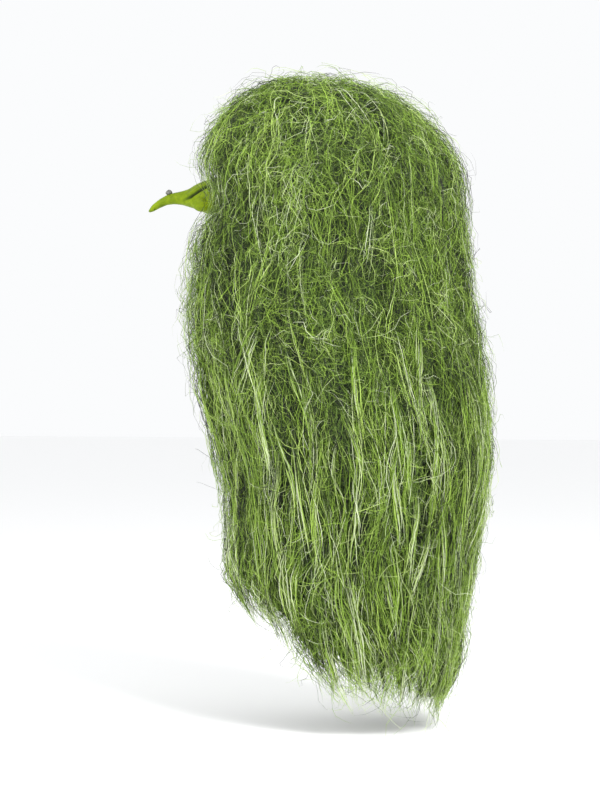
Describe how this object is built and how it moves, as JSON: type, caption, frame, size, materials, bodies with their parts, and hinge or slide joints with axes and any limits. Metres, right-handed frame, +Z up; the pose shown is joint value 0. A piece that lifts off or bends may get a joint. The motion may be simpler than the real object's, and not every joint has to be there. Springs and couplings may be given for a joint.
{
  "type": "latex witch mask with wig",
  "caption": "Full-head latex witch mask with a long crooked nose, foam lining, rear slit closure and a huge teased wig on a net cap.",
  "frame": {"origin": "centre of the flat underside of the foam crown pad, where the mask sits on the head", "axes": "+Z up along the hair's length, -Y the way the face looks, +X the wearer's left"},
  "size_m": [0.3754, 0.5322, 0.943],
  "materials": {
    "latex": "satin",
    "wart": "satin",
    "foam": "matte",
    "tape": "matte",
    "elastic": "matte",
    "closure": "matte",
    "slider": "gloss",
    "net": "matte",
    "hair": "satin"
  },
  "bodies": {
    "mask": {"latex_mask": "latex", "nose_wart": "wart", "nose_core": "foam", "crown_pad": "foam", "forehead_pad": "foam", "rear_pad": "foam", "temple_pad_left": "foam", "temple_pad_right": "foam", "slit_binding_left": "tape", "slit_binding_right": "tape", "strap_anchor_left": "tape", "strap_anchor_right": "tape", "head_strap": "elastic", "closure_loop_patch": "closure", "closure_tab_anchor": "closure", "wig_cap": "net", "hairline_band": "elastic", "weft_row_1": "tape", "weft_row_2": "tape", "weft_row_3": "tape", "weft_row_4": "tape", "weft_row_5": "tape", "hair_crown": "hair"},
    "slider": {"strap_slider": "slider"},
    "closure_tab": {"closure_tab": "closure"},
    "hair_left": {"hair_front_lock_left": "hair", "hair_side_left": "hair"},
    "hair_right": {"hair_front_lock_right": "hair", "hair_side_right": "hair"},
    "hair_back": {"hair_back_left": "hair", "hair_back_centre": "hair", "hair_back_right": "hair"}
  },
  "joints": [
    {"name": "hair_left_lift", "type": "hinge", "parent": "mask", "child": "hair_left", "pos_m": [0.105, 0, -0.075], "axis": [0, -1, 0], "range_deg": [0, 40]},
    {"name": "hair_right_lift", "type": "hinge", "parent": "mask", "child": "hair_right", "pos_m": [-0.105, 0, -0.075], "axis": [0, 1, 0], "range_deg": [0, 40]},
    {"name": "hair_back_lift", "type": "hinge", "parent": "mask", "child": "hair_back", "pos_m": [0, 0.14, -0.075], "axis": [1, 0, 0], "range_deg": [0, 30]},
    {"name": "closure_tab_peel", "type": "hinge", "parent": "mask", "child": "closure_tab", "pos_m": [0.00915, 0.0675, -0.25], "axis": [0, 0, -1], "range_deg": [0, 100]},
    {"name": "strap_slider_slide", "type": "slide", "parent": "mask", "child": "slider", "axis": [1, 0, 0], "range_m": [-0.048, 0]}
  ]
}
